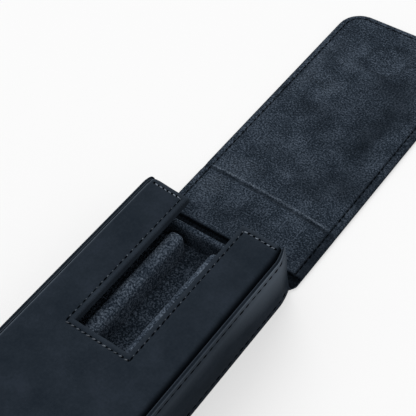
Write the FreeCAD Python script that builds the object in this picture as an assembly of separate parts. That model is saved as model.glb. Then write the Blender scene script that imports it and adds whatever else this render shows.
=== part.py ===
"""Leather pen case with a windowed front, a flap in two leaves and a lined tray that slides out.

Millimetres. The case lies on its back with its flap opened flat, as it is shown.
X runs across the case, +Y out of its mouth towards the flap, and +Z up from the table.
The origin is on the table, at the middle of the mouth.
"""
import FreeCAD
import Part

import math
import os

# Sheet goods that every wall is made of
LEATHER = 1.1
PANEL_BOARD = 1.7
WALL_BOARD = 1.6
FLAP_BOARD = 1.3
SUEDE = 0.8

# The case
CASE_WIDTH = 92.0
CASE_LENGTH = 180.0
CASE_DEPTH = 37.5
END_RADIUS = 12.0
SHOULDER = 3.0
RIM_ROUND = 2.5
EDGE_ROUND = 1.0

# The window, open towards the mouth
WINDOW_WIDTH = 34.0
WINDOW_LENGTH = 94.5
WINDOW_CORNER = 1.0
FRONT_SETBACK = 1.2

# The flap: a bridge over the mouth, then the lid over the front
FLAP_OVERHANG = 0.5
MOUTH_CLEARANCE = 2.9
LID_CLEARANCE = 1.0
LID_SETBACK = 23.0
LID_RADIUS = 15.0
TONGUE_FLARE = 3.6
LINING_MARGIN = 0.3

# The closure: two discs that meet when the lid is down
MAGNET_INSET = 29.5
FRONT_MAGNET_RADIUS = 10.0
LID_MAGNET_RADIUS = 11.0
FRONT_MAGNET_THICK = 1.5
LID_MAGNET_THICK = 1.2
MAGNET_FIT = 0.1

# The tray
TRAY_PLAY = 0.5
TRAY_LIFT = 0.2
TRAY_INSET = 10.0
HEADROOM = 6.4
TRAY_BOARD = 1.6
TRAY_WALL = 2.8
TOP_ROUND = 2.0
BED_FOAM = 6.0
TROUGH_DEPTH = 3.0
DIVIDER_WIDTH = 5.2
DIVIDER_GAP = 7.0
CHANNELS = 3

# Working allowances
LEAST_RADIUS = 0.5
SKIN_PLAY = 0.1
OVERCUT = 5.0
TOUCH = 0.01

# Places that follow from the sizes
HALF_WIDTH = CASE_WIDTH / 2
PANEL = LEATHER + PANEL_BOARD + SUEDE
GUSSET = LEATHER + WALL_BOARD + SUEDE
FRONT_UNDER = CASE_DEPTH - PANEL
FRONT_Y = -FRONT_SETBACK
FLAP_HALF = HALF_WIDTH + FLAP_OVERHANG
TONGUE_HALF = HALF_WIDTH - LEATHER
BOARD_TOP = LEATHER + FLAP_BOARD
FLAP_TOP = BOARD_TOP + SUEDE
FOLD_GAP = FLAP_TOP - LEATHER
BOARD_GAP = FOLD_GAP + SUEDE
FOLD_Y = MOUTH_CLEARANCE + FOLD_GAP
CREASE_Y = FOLD_Y + CASE_DEPTH - LEATHER + LID_CLEARANCE + FOLD_GAP
LID_END = CREASE_Y + FOLD_Y + CASE_LENGTH - LID_SETBACK
LID_MAGNET_Y = LID_END - MAGNET_INSET
FRONT_MAGNET_Y = FOLD_Y - (LID_MAGNET_Y - CREASE_Y)
TRAY_BOTTOM = PANEL + TRAY_LIFT
BASE_TOP = TRAY_BOTTOM + SUEDE + TRAY_BOARD
BED_TOP = BASE_TOP + BED_FOAM + SUEDE
TRAY_TOP = FRONT_UNDER - HEADROOM
FRAME_INNER = SUEDE + TRAY_WALL
TRAY_INNER = FRAME_INNER + SUEDE
TRAY_HALF = HALF_WIDTH - GUSSET - TRAY_PLAY
TRAY_FRONT = -TRAY_INSET
TRAY_BACK = -CASE_LENGTH + GUSSET + TRAY_PLAY
INNER_HALF = TRAY_HALF - TRAY_INNER
DIVIDERS = CHANNELS - 1
CHANNEL_WIDTH = (2 * INNER_HALF - DIVIDERS * DIVIDER_WIDTH) / CHANNELS
CHANNEL_PITCH = CHANNEL_WIDTH + DIVIDER_WIDTH
DIVIDER_FRONT = TRAY_FRONT - TRAY_INNER - DIVIDER_GAP
DIVIDER_BACK = TRAY_BACK + TRAY_INNER
CORE_WIDTH = DIVIDER_WIDTH - 2 * SUEDE


def vec(x, y, z=0.0):
    return FreeCAD.Vector(x, y, z)


def box(x, y, z):
    """A block from three (low, high) pairs."""
    return Part.makeBox(x[1] - x[0], y[1] - y[0], z[1] - z[0], vec(x[0], y[0], z[0]))


def prism(edges, z):
    """A flat outline, drawn at z = 0, raised between two heights."""
    face = Part.Face(Part.Wire(edges))
    face.translate(vec(0, 0, z[0]))
    return face.extrude(vec(0, 0, z[1] - z[0]))


def rounded_outline(half, y, radii):
    """A rectangle, symmetric about X = 0, with its own corner radius at each end of Y."""
    (low, high), (low_radius, high_radius) = y, radii
    corners = [
        (half, low, low_radius, -90),
        (half, high, high_radius, 0),
        (-half, high, high_radius, 90),
        (-half, low, low_radius, 180),
    ]
    edges = []
    first = last = None
    for x, corner_y, radius, start in corners:
        side_x = math.copysign(1, x)
        side_y = 1 if corner_y == high else -1
        centre = vec(x - side_x * radius, corner_y - side_y * radius)
        turn = [math.radians(start + part) for part in (0, 45, 90)]
        points = [centre + vec(radius * math.cos(a), radius * math.sin(a)) for a in turn]
        if last is not None:
            edges.append(Part.makeLine(last, points[0]))
        if radius > 0:
            edges.append(Part.Arc(*points).toShape())
        first = first or points[0]
        last = points[2]
    edges.append(Part.makeLine(last, first))
    return edges


def case_plan(inset, front):
    """The case seen from above, drawn in by inset, round at its closed end and square at front."""
    radius = max(END_RADIUS - inset, LEAST_RADIUS)
    return rounded_outline(HALF_WIDTH - inset, (-CASE_LENGTH + inset, front), (radius, 0))


def tray_plan(inset):
    """The tray seen from above, drawn in by inset. Its corners follow the closed end's."""
    radius = max(END_RADIUS - GUSSET - TRAY_PLAY - inset, LEAST_RADIUS)
    y = (TRAY_BACK + inset, TRAY_FRONT - inset)
    return rounded_outline(TRAY_HALF - inset, y, (radius, radius))


def lid_plan(inset, front):
    """The lid seen from above, drawn in by inset, square at the crease and round at its end."""
    radius = max(LID_RADIUS - inset, LEAST_RADIUS)
    return rounded_outline(FLAP_HALF - inset, (front, LID_END - inset), (0, radius))


def window(margin):
    """The tool that opens the window through the front panel, widened by margin."""
    half = WINDOW_WIDTH / 2 + margin
    corner = max(WINDOW_CORNER - margin, LEAST_RADIUS)
    low = FRONT_Y - WINDOW_LENGTH - margin
    z = (FRONT_UNDER - OVERCUT, CASE_DEPTH + OVERCUT)
    return prism(rounded_outline(half, (low, OVERCUT), (corner, 0)), z)


def edges_at(shape, z, keep):
    """Edges that lie flat at height z and whose middle passes the test keep."""
    found = []
    for edge in shape.Edges:
        bounds = edge.BoundBox
        if abs(bounds.ZMin - z) < TOUCH and abs(bounds.ZMax - z) < TOUCH and keep(bounds.Center):
            found.append(edge)
    return found


def panel_block(inset, front, z):
    """A block on the case's plan, with the list of its three sewn upper edges."""
    block = prism(case_plan(inset, front), z)
    return block, edges_at(block, z[1], lambda middle: middle.y < front - TOUCH)


def bevel_for(radius):
    """The 45 degree bevel that just touches a round of this radius, for faces out of sight."""
    return radius * (2 - math.sqrt(2))


def round_ends(wall, y, z, radius):
    """A standing wall with its corners at the mouth rounded at height z."""
    ends = edges_at(wall, z, lambda middle: abs(middle.y - y) < TOUCH)
    return wall.makeFillet(radius, ends)


def rim(front, z):
    """The panel's own ply of the sewn rim: its leather turned up against the side walls."""
    wall = prism(case_plan(LEATHER, front), z).cut(prism(case_plan(2 * LEATHER, OVERCUT), z))
    return round_ends(wall, front, z[1], min(RIM_ROUND, PANEL - SUEDE))


def panel_skin(front, opening):
    """A panel's leather with soft shoulders and a sewn rim. An opening's edges are turned in."""
    z = (FRONT_UNDER, CASE_DEPTH)
    skin, sewn = panel_block(2 * LEATHER, front, z)
    skin = skin.makeFillet(SHOULDER, sewn)
    lip = front - LEATHER if opening else OVERCUT
    hollow, sewn = panel_block(3 * LEATHER, lip, (z[0], z[1] - LEATHER))
    hollow = hollow.makeChamfer(bevel_for(SHOULDER - LEATHER), sewn)
    if opening:
        skin = skin.cut(window(0))
        half = WINDOW_WIDTH / 2 + TOUCH
        low = front - WINDOW_LENGTH - TOUCH
        turned = edges_at(skin, z[1], lambda middle: abs(middle.x) < half and middle.y > low)
        skin = skin.makeFillet(EDGE_ROUND, turned)
        hollow = hollow.cut(window(LEATHER))
    return skin.cut(hollow).fuse(rim(front, z)).removeSplitter()


def front_leather():
    return panel_skin(FRONT_Y, True)


def front_sheet(inset, z):
    """A flat sheet inside the front panel, cut round the window."""
    return prism(case_plan(inset, FRONT_Y - LEATHER), z).cut(window(LEATHER))


def magnet_hole(radius, y, z):
    return Part.makeCylinder(radius + MAGNET_FIT, z[1] - z[0], vec(0, y, z[0]))


def front_board():
    z = (FRONT_UNDER + SUEDE, CASE_DEPTH - LEATHER)
    hole = magnet_hole(FRONT_MAGNET_RADIUS, FRONT_MAGNET_Y, z)
    return front_sheet(2 * LEATHER + SHOULDER, z).cut(hole)


def front_magnet():
    low = CASE_DEPTH - LEATHER - FRONT_MAGNET_THICK
    return Part.makeCylinder(FRONT_MAGNET_RADIUS, FRONT_MAGNET_THICK, vec(0, FRONT_MAGNET_Y, low))


def front_lining():
    return front_sheet(3 * LEATHER + SKIN_PLAY, (FRONT_UNDER, FRONT_UNDER + SUEDE))


def tongue():
    """Leather that carries on past the mouth to the fold, flaring to the flap's width."""
    step = FLAP_HALF - TONGUE_HALF
    radius = (TONGUE_FLARE ** 2 + step ** 2) / (2 * step)
    sweep = math.asin(TONGUE_FLARE / radius)
    centre = vec(FLAP_HALF - radius, TONGUE_FLARE)
    turn = [-sweep, -sweep / 2, 0]
    right = [centre + vec(radius * math.cos(a), radius * math.sin(a)) for a in turn]
    left = [vec(-point.x, point.y) for point in right]
    corner = [vec(FLAP_HALF, FOLD_Y), vec(-FLAP_HALF, FOLD_Y)]
    edges = [
        Part.Arc(*right).toShape(),
        Part.makeLine(right[2], corner[0]),
        Part.makeLine(corner[0], corner[1]),
        Part.makeLine(corner[1], left[2]),
        Part.Arc(*left[::-1]).toShape(),
        Part.makeLine(left[0], right[0]),
    ]
    return prism(edges, (0, LEATHER))


def back_leather():
    """The back panel's leather, made as the front's is and turned over, with its tongue."""
    skin = panel_skin(0, False).mirror(vec(0, 0, CASE_DEPTH / 2), vec(0, 0, 1))
    return skin.fuse(tongue()).removeSplitter()


def back_board():
    return prism(case_plan(2 * LEATHER + SHOULDER, -SUEDE), (LEATHER, LEATHER + PANEL_BOARD))


def back_lining():
    """Suede over the back board, down over its end and along the tongue to the fold."""
    inset = 3 * LEATHER + SKIN_PLAY
    half = HALF_WIDTH - inset
    sheet = prism(case_plan(inset, 0), (PANEL - SUEDE, PANEL))
    lip = box((-half, half), (-SUEDE, 0), (LEATHER, PANEL))
    strip = box((-half, half), (-SUEDE, FOLD_Y - FOLD_GAP), (LEATHER, LEATHER + SUEDE))
    return sheet.fuse([lip, strip]).removeSplitter()


def gusset_leather():
    """One strip round both sides and the closed end, with its mouth ends turned in."""
    z = (0, CASE_DEPTH)
    wall = prism(case_plan(0, 0), z).cut(prism(case_plan(LEATHER, OVERCUT), z))
    wall = round_ends(wall, 0, CASE_DEPTH, RIM_ROUND)
    wall = round_ends(wall, 0, 0, EDGE_ROUND)
    hems = []
    for side in (-1, 1):
        x = sorted((side * (HALF_WIDTH - LEATHER), side * (HALF_WIDTH - GUSSET)))
        hems.append(box(x, (-LEATHER, 0), (PANEL, FRONT_UNDER)))
    return wall.fuse(hems).removeSplitter()


def gusset_lining():
    z = (PANEL, FRONT_UNDER)
    inset = GUSSET - SUEDE
    return prism(case_plan(inset, -LEATHER), z).cut(prism(case_plan(GUSSET, OVERCUT), z))


def side_board(side):
    """A flat stiffener in a side wall, ending where the corner starts to turn."""
    outer = HALF_WIDTH - LEATHER
    x = sorted((side * outer, side * (outer - WALL_BOARD)))
    return box(x, (-CASE_LENGTH + END_RADIUS, -LEATHER), (PANEL, FRONT_UNDER))


def end_board():
    half = HALF_WIDTH - END_RADIUS
    outer = -CASE_LENGTH + LEATHER
    return box((-half, half), (outer, outer + WALL_BOARD), (PANEL, FRONT_UNDER))


def round_fold(block, y):
    """Rounds the upper edge of a lining where it turns down into a fold."""
    edges = edges_at(block, FLAP_TOP, lambda middle: abs(middle.y - y) < TOUCH)
    return block.makeFillet(SUEDE, edges)


def room_for_board(y):
    """The space under a lining that the flap's board fills, between two places along Y."""
    return box((-2 * FLAP_HALF, 2 * FLAP_HALF), y, (0, BOARD_TOP))


def bridge_leather():
    """The bridge's leather: flat at both folds, turned up along the sides of its board."""
    y = (FOLD_Y, CREASE_Y)
    sheet = box((-FLAP_HALF, FLAP_HALF), y, (0, LEATHER))
    span = (y[0] + BOARD_GAP, y[1] - BOARD_GAP)
    walls = []
    for side in (-1, 1):
        x = sorted((side * FLAP_HALF, side * (FLAP_HALF - LEATHER)))
        walls.append(box(x, span, (0, BOARD_TOP)))
    return sheet.fuse(walls).removeSplitter()


def bridge_board():
    half = FLAP_HALF - LEATHER
    return box((-half, half), (FOLD_Y + BOARD_GAP, CREASE_Y - BOARD_GAP), (LEATHER, BOARD_TOP))


def bridge_lining():
    """Suede over the bridge's board and down over both of its ends."""
    half = FLAP_HALF - LINING_MARGIN
    y = (FOLD_Y + FOLD_GAP, CREASE_Y - FOLD_GAP)
    block = box((-half, half), y, (LEATHER, FLAP_TOP))
    for end in y:
        block = round_fold(block, end)
    return block.cut(room_for_board((y[0] + SUEDE, y[1] - SUEDE)))


def lid_leather():
    """The lid's leather: flat at the crease, turned up round the edge of its board."""
    sheet = prism(lid_plan(0, CREASE_Y), (0, LEATHER))
    edge = prism(lid_plan(0, CREASE_Y + BOARD_GAP), (0, BOARD_TOP))
    hollow = prism(lid_plan(LEATHER, CREASE_Y), (LEATHER, BOARD_TOP))
    return edge.cut(hollow).fuse(sheet).removeSplitter()


def lid_board():
    z = (LEATHER, BOARD_TOP)
    board = prism(lid_plan(LEATHER, CREASE_Y + BOARD_GAP), z)
    return board.cut(magnet_hole(LID_MAGNET_RADIUS, LID_MAGNET_Y, z))


def lid_magnet():
    return Part.makeCylinder(LID_MAGNET_RADIUS, LID_MAGNET_THICK, vec(0, LID_MAGNET_Y, LEATHER))


def lid_lining():
    """Suede over the lid's board, down over its end at the crease and out to its other edges."""
    start = CREASE_Y + FOLD_GAP
    block = prism(lid_plan(LINING_MARGIN, start), (LEATHER, FLAP_TOP))
    block = round_fold(block, start)
    return block.cut(room_for_board((start + SUEDE, LID_END + OVERCUT)))


def tray_wall(outer, inner, z):
    """A ring round the tray between two insets, with the list of its top edges."""
    ring = prism(tray_plan(outer), z).cut(prism(tray_plan(inner), z))
    return ring, edges_at(ring, z[1], lambda middle: True)


def tray_frame():
    """The walls of the tray, bent from one strip of board and bevelled along the top."""
    ring, top = tray_wall(SUEDE, FRAME_INNER, (BASE_TOP, TRAY_TOP - SUEDE))
    return ring.makeChamfer(bevel_for(TOP_ROUND - SUEDE), top)


def tray_base():
    return prism(tray_plan(SUEDE), (TRAY_BOTTOM + SUEDE, BASE_TOP))


def wall_lining():
    """Suede on the inside of the tray's walls, up to where the outer cover rolls over them."""
    z = (BASE_TOP, TRAY_TOP - TOP_ROUND)
    return prism(tray_plan(FRAME_INNER), z).cut(prism(tray_plan(TRAY_INNER), z))


def tray_cover():
    """Suede under the tray, round the outside of it and rolled over the top of its walls."""
    ring, top = tray_wall(0, TRAY_INNER, (TRAY_BOTTOM, TRAY_TOP))
    ring = ring.makeFillet(TOP_ROUND, top)
    floor = prism(tray_plan(0), (TRAY_BOTTOM, TRAY_BOTTOM + SUEDE))
    return ring.fuse(floor).removeSplitter().cut([tray_base(), tray_frame(), wall_lining()])


def channel_centres():
    return [(index - DIVIDERS / 2) * CHANNEL_PITCH for index in range(CHANNELS)]


def divider_centres():
    return [(index - (DIVIDERS - 1) / 2) * CHANNEL_PITCH for index in range(DIVIDERS)]


def troughs(top):
    """The channels' hollows, as round-bottomed tools that cut down from height top."""
    radius = (CHANNEL_WIDTH ** 2 / 4 + TROUGH_DEPTH ** 2) / (2 * TROUGH_DEPTH)
    length = TRAY_FRONT - TRAY_BACK
    tools = []
    for x in channel_centres():
        centre = vec(x, TRAY_BACK, top + radius - TROUGH_DEPTH)
        tools.append(Part.makeCylinder(radius, length, centre, vec(0, 1, 0)))
    return tools


def core_slots():
    """Tools for the slots in the bed that the dividers stand in."""
    half = CORE_WIDTH / 2
    y = (DIVIDER_BACK, DIVIDER_FRONT - SUEDE)
    return [box((x - half, x + half), y, (BASE_TOP, BED_TOP)) for x in divider_centres()]


def bed(top):
    """The bed's block up to a height, with its hollows pressed into it."""
    return prism(tray_plan(TRAY_INNER), (BASE_TOP, top)).cut(troughs(top))


def bed_foam():
    """Foam under the channels, in one block with slots for the dividers."""
    return bed(BED_TOP - SUEDE).cut(core_slots())


def bed_lining():
    """Suede laid into the hollows and over the ridges between them."""
    return bed(BED_TOP).cut(bed(BED_TOP - SUEDE)).cut(core_slots())


def standing_bar(x, width, y, z):
    """A bar that stands on its edge and is round at its front end, with a list of its top edges."""
    half = width / 2
    bar = prism(rounded_outline(half, y, (0, half - TOUCH)), z)
    bar.translate(vec(x, 0, 0))
    return bar, edges_at(bar, z[1], lambda middle: middle.y > y[0] + TOUCH)


def divider_core(x):
    """The board in a divider, bevelled along its top."""
    y = (DIVIDER_BACK, DIVIDER_FRONT - SUEDE)
    bar, top = standing_bar(x, CORE_WIDTH, y, (BASE_TOP, TRAY_TOP - SUEDE))
    return bar.makeChamfer(bevel_for(CORE_WIDTH / 2), top)


def divider_cover(x):
    """Suede sleeve over a divider's core, down to the bed and round along its top."""
    y = (DIVIDER_BACK, DIVIDER_FRONT)
    sleeve, top = standing_bar(x, DIVIDER_WIDTH, y, (BED_TOP, TRAY_TOP))
    return sleeve.makeFillet(DIVIDER_WIDTH / 2 - SKIN_PLAY, top).cut(divider_core(x))


def build():
    """Every piece by its node's name."""
    left, right = divider_centres()
    return {
        "back_leather": back_leather(),
        "back_board": back_board(),
        "back_lining": back_lining(),
        "front_leather": front_leather(),
        "front_board": front_board(),
        "front_lining": front_lining(),
        "front_magnet": front_magnet(),
        "gusset_leather": gusset_leather(),
        "gusset_lining": gusset_lining(),
        "left_side_board": side_board(-1),
        "right_side_board": side_board(1),
        "closed_end_board": end_board(),
        "bridge_leather": bridge_leather(),
        "bridge_board": bridge_board(),
        "bridge_lining": bridge_lining(),
        "lid_leather": lid_leather(),
        "lid_board": lid_board(),
        "lid_lining": lid_lining(),
        "lid_magnet": lid_magnet(),
        "tray_cover": tray_cover(),
        "tray_base": tray_base(),
        "tray_frame": tray_frame(),
        "tray_wall_lining": wall_lining(),
        "bed_foam": bed_foam(),
        "bed_lining": bed_lining(),
        "left_divider_core": divider_core(left),
        "right_divider_core": divider_core(right),
        "left_divider_cover": divider_cover(left),
        "right_divider_cover": divider_cover(right),
    }


os.makedirs("parts", exist_ok=True)
for name, shape in build().items():
    print(f"{name:20} solids {len(shape.Solids)}  volume {shape.Volume:10.1f}  valid {shape.isValid()}")
    shape.exportStep(f"parts/{name}.step")
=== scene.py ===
# %% [markdown]
# # A leather pen case, dressed for its picture
# The construction is already made: boards, linings, magnets and the tray all come in as a fixed frame.
# This file gives the case its looks. It adds the soft leather, the suede and the stitching around the
# frame, gives every surface its finish, and sets up the floor, the light and the camera.

# %% Load the frame
import math
import random

import bmesh
import bpy
from mathutils import Matrix, Vector
from mathutils.noise import noise as noise_at


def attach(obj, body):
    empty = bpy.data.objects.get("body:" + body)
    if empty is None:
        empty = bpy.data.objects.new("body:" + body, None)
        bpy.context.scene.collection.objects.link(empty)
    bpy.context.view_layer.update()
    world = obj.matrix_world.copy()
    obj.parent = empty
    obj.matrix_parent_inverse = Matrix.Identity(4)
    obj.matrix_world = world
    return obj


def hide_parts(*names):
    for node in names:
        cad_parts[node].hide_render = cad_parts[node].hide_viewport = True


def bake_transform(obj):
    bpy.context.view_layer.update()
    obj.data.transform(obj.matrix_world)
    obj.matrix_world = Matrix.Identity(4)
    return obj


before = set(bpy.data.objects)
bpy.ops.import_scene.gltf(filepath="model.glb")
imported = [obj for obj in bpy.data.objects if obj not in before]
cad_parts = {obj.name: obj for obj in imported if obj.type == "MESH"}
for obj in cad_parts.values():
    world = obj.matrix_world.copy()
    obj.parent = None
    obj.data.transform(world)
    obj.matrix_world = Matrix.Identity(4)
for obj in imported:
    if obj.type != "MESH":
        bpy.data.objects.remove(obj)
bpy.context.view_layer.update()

MM = 0.001

# %% [markdown]
# ## Camera
# The photograph looks down on the mouth of the case from its right side, about 50 degrees above the
# table. A camera could be aimed by eye, but the straight edges of the case give its place: three sets of
# parallel edges have three vanishing points, and those fix the direction and the focal length.

# %% Camera
PHOTO_SIZE = 416
FOCAL_PIXELS = 1058.2
CAMERA_PLACE = Vector((230.38, -263.88, 467.19)) * MM
CAMERA_RIGHT = Vector((0.79826, 0.59772, -0.07419))
CAMERA_UP = Vector((-0.42720, 0.64870, 0.62983))
CAMERA_BACK = Vector((0.42459, -0.47108, 0.77318))
SENSOR_WIDTH = 36.0

camera_data = bpy.data.cameras.new("camera")
camera_data.sensor_width = SENSOR_WIDTH
camera_data.lens = SENSOR_WIDTH * FOCAL_PIXELS / PHOTO_SIZE
camera_data.clip_start = 0.01
camera_data.clip_end = 50
camera = bpy.data.objects.new("camera", camera_data)
bpy.context.scene.collection.objects.link(camera)
turn = Matrix((CAMERA_RIGHT, CAMERA_UP, CAMERA_BACK)).transposed().to_4x4()
camera.matrix_world = Matrix.Translation(CAMERA_PLACE) @ turn
bpy.context.scene.camera = camera
print("focal length", round(camera_data.lens, 1), "mm")

# %% [markdown]
# ## Colours and material nodes
# A colour is written as it looks on a screen, in sRGB hex. Light adds up in linear values, so one
# function turns each hex colour to linear before it goes into a material.

# %% Helpers for materials
def linear(hex_colour):
    """A linear RGBA colour from an sRGB hex string."""
    channels = [int(hex_colour[i:i + 2], 16) / 255 for i in (1, 3, 5)]
    curve = [c / 12.92 if c <= 0.04045 else ((c + 0.055) / 1.055) ** 2.4 for c in channels]
    return (*curve, 1.0)


def new_material(name, **sockets):
    """A material with the sockets of its Principled shader set. Underscores stand for spaces."""
    made = bpy.data.materials.new(name)
    made.use_nodes = True
    shader = made.node_tree.nodes["Principled BSDF"]
    for key, value in sockets.items():
        shader.inputs[key.replace("_", " ")].default_value = value
    return made, shader


def add(material, kind, settings=None, inputs=None, stops=()):
    """Adds one node, with its settings, its inputs and the (place, hex colour) stops of a colour ramp.

    An input is a value, or another node's output to link."""
    tree = material.node_tree
    node = tree.nodes.new(kind)
    for key, value in (settings or {}).items():
        setattr(node, key, value)
    for key, value in (inputs or {}).items():
        if isinstance(value, bpy.types.NodeSocket):
            tree.links.new(value, node.inputs[key])
        else:
            node.inputs[key].default_value = value
    if stops:
        elements = node.color_ramp.elements
        while len(elements) < len(stops):
            elements.new(0.5)
        for element, (place, colour) in zip(elements, stops):
            element.position = place
            element.color = linear(colour)
    return node


def link(material, output, node, key):
    """Links an output to a node that is there already."""
    material.node_tree.links.new(output, node.inputs[key])


def blobs(place, size, detail=3, roughness=0.6):
    """The inputs of a noise whose blobs are about this many millimetres across."""
    return {"Vector": place, "Scale": 1 / (size * MM), "Detail": detail, "Roughness": roughness}


print("a screen's middle grey is", round(linear("#808080")[0], 3), "in linear light")

# %% [markdown]
# ## Wear and painted light
# A case that is used gets pale where hands rub it, and its raw edges are dyed dark. The same attribute
# also carries painted light: pale painted highlights and sheen on edges that face the light, and near-black
# painted shade in grooves, folds, gutters and rows of stitches. Where that happens depends on the piece's
# form, so each piece carries it as an attribute of its points, and the material mixes it in. A mask
# painted on a picture could do it too, but an attribute needs no picture.

# %% Wear and painted light
PALE_WEAR_AND_HIGHLIGHT = "#7A8592"
EDGE_PAINT_AND_SHADE = "#05080C"


def mix_wear_and_painted_light(material, tone, uneven=None):
    """Mixes a tone with the piece's rubbing and painted light: a positive value lightens it and a negative
    one darkens it.
    """
    wear = add(material, "ShaderNodeAttribute", {"attribute_name": "wear"}).outputs["Fac"]
    if uneven:
        spread = {"Value": uneven, "From Min": 0.35, "From Max": 0.65, "To Min": 0.2, "To Max": 1.8}
        uneven = add(material, "ShaderNodeMapRange", None, spread).outputs["Result"]
        wear = add(material, "ShaderNodeMath", {"operation": "MULTIPLY"}, {0: wear, 1: uneven}).outputs[0]
    darkened_share = add(material, "ShaderNodeMath", {"operation": "MULTIPLY"}, {0: wear, 1: -1.0}).outputs[0]
    light = add(material, "ShaderNodeMix", {"data_type": "RGBA"}, {0: wear, 6: tone, 7: linear(PALE_WEAR_AND_HIGHLIGHT)})
    return add(material, "ShaderNodeMix", {"data_type": "RGBA"},
               {0: darkened_share, 6: light.outputs[2], 7: linear(EDGE_PAINT_AND_SHADE)}).outputs[2]


# Rubbed places and painted highlights go towards the pale colour, and painted shade and dark edges towards
# the near-black one.
print("worn places go towards", PALE_WEAR_AND_HIGHLIGHT, "and dark ones towards", EDGE_PAINT_AND_SHADE)

# %% [markdown]
# ## Leather
# The outside is calf leather, dyed navy right through and rubbed with wax. The wax fills the pores and
# dulls the shine, so the eye sees an even blue-black that is faintly clouded, with a grain that shows only
# where light grazes it. One flat colour would look like plastic. Here a wide noise gives the clouds, a
# fine one the pores, and a third, as bump, the grain. The real grain is some 0.3 mm across, too fine for
# the picture, so it is drawn at 0.8 mm.

# %% Leather
CLOUDS_ACROSS, PORES_ACROSS, GRAIN_ACROSS = 16, 1.4, 0.8

leather, shader = new_material("waxed_navy_leather", Roughness=0.55, Specular_IOR_Level=0.004)
place = add(leather, "ShaderNodeTexCoord").outputs["Object"]
clouds = add(leather, "ShaderNodeTexNoise", None, blobs(place, CLOUDS_ACROSS, 4))
pores = add(leather, "ShaderNodeTexNoise", None, blobs(place, PORES_ACROSS))
mixed = add(leather, "ShaderNodeMix", {"data_type": "FLOAT"},
            {0: 0.35, 2: clouds.outputs["Fac"], 3: pores.outputs["Fac"]})
tone = add(leather, "ShaderNodeValToRGB", None, {"Fac": mixed.outputs[0]},
           [(0.36, "#1E252D"), (0.5, "#232A32"), (0.64, "#282F38")])
link(leather, mix_wear_and_painted_light(leather, tone.outputs["Color"]), shader, "Base Color")
grain = add(leather, "ShaderNodeTexNoise", None, blobs(place, GRAIN_ACROSS))
bump = add(leather, "ShaderNodeBump", None,
           {"Strength": 0.4, "Distance": 0.2 * MM, "Height": grain.outputs["Fac"]})
link(leather, bump.outputs["Normal"], shader, "Normal")
print(leather.name, len(leather.node_tree.nodes), "nodes")

# %% [markdown]
# ## Suede
# The lining is suede: the inner side of a hide, sanded until its fibres stand up as a nap. It has no
# gloss, and each tuft is light or dark by the way it leans, so the eye sees a soft mottle. A cloth
# material with sheen could do, but it would glow at the edges. Here a noise of about 1 mm stands for the
# tufts, which are finer on the real suede, and a wide one for the patches that a hand has brushed. The
# dividers have a paler copy of the suede, as painted light, so that they look lit down in the tray.

# %% Suede
BRUSHED_ACROSS = 13


def make_suede(name, tuft, dark, middle, light, contrast):
    """Suede whose tufts are about this many millimetres across, in three tones."""
    made, shader = new_material(name, Roughness=0.95, Specular_IOR_Level=0.03)
    place = add(made, "ShaderNodeTexCoord").outputs["Object"]
    nap = add(made, "ShaderNodeTexNoise", None, blobs(place, tuft, 3, 0.7))
    brushed = add(made, "ShaderNodeTexNoise", None, blobs(place, BRUSHED_ACROSS, 6, 0.7))
    mixed = add(made, "ShaderNodeMix", {"data_type": "FLOAT"},
                {0: 0.26, 2: nap.outputs["Fac"], 3: brushed.outputs["Fac"]})
    tone = add(made, "ShaderNodeValToRGB", None, {"Fac": mixed.outputs[0]},
               [(0.5 - contrast, dark), (0.5, middle), (0.5 + contrast, light)])
    link(made, mix_wear_and_painted_light(made, tone.outputs["Color"], nap.outputs["Fac"]), shader, "Base Color")
    bump = add(made, "ShaderNodeBump", None,
               {"Strength": 0.45, "Distance": 0.5 * MM, "Height": nap.outputs["Fac"]})
    link(made, bump.outputs["Normal"], shader, "Normal")
    print(name, len(made.node_tree.nodes), "nodes")
    return made


suede = make_suede("navy_suede", 1.0, "#0F151C", "#252E38", "#515B68", 0.11)
# The dividers' paler copy of the suede is painted light: it makes them look lit down in the window's shade.
lightened_suede = make_suede("brushed_navy_suede", 1.0, "#18202A", "#3A4450", "#6A7583", 0.11)

# %% [markdown]
# ## Thread, holes, board, foam and magnets
# The thread is waxed linen, as dark as the leather. A paler copy of it, used along the mouth, is partly
# worn thread and partly painted highlight. The pricked holes are a near-black material: painted shade for
# the dark inside them, where no light comes out. Grey board, cut foam and the plated steel of the
# magnets are hidden in use. All of them only need a tone that isn't quite even, so one function makes
# them, and the size of each mottle is that of the real thing's twist, pulp, cells or plating.

# %% Thread, holes, board, foam and magnets
def make_mottled(name, size, stops, **sockets):
    """A plain material with some unevenness in its tone, about this many millimetres across."""
    made, shader = new_material(name, **sockets)
    place = add(made, "ShaderNodeTexCoord").outputs["Object"]
    mottle = add(made, "ShaderNodeTexNoise", None, blobs(place, size))
    tone = add(made, "ShaderNodeValToRGB", None, {"Fac": mottle.outputs["Fac"]}, stops)
    link(made, tone.outputs["Color"], shader, "Base Color")
    print(name)
    return made


# Waxed linen: a low, broken gloss, and a twist that turns from dark to less dark.
thread = make_mottled("waxed_navy_thread", 2.5, [(0.42, "#242C35"), (0.6, "#48525D")], Roughness=0.5)
# The same thread, paler and duller: partly where the wax has worn off, and partly a painted highlight for
# the mouth's stitches, which catch the light.
rubbed = make_mottled("rubbed_navy_thread", 3, [(0.4, "#39434E"), (0.6, "#76818E")], Roughness=0.6)
# A pricked hole's dark inside, as painted shade: nearly black, with no gloss at all.
hole_shade = make_mottled("stitch_hole", 1, [(0.4, "#020304"), (0.6, "#080B0F")], Roughness=1.0,
                    Specular_IOR_Level=0.0)
# Grey board from waste paper: dull, with specks of pulp.
board = make_mottled("grey_board", 1.5, [(0.35, "#7E7468"), (0.65, "#968C80")], Roughness=0.9)
# Open foam: matt, with fine dark cells.
foam = make_mottled("bed_foam", 0.6, [(0.4, "#2E2E30"), (0.6, "#48484B")], Roughness=1.0)
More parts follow.
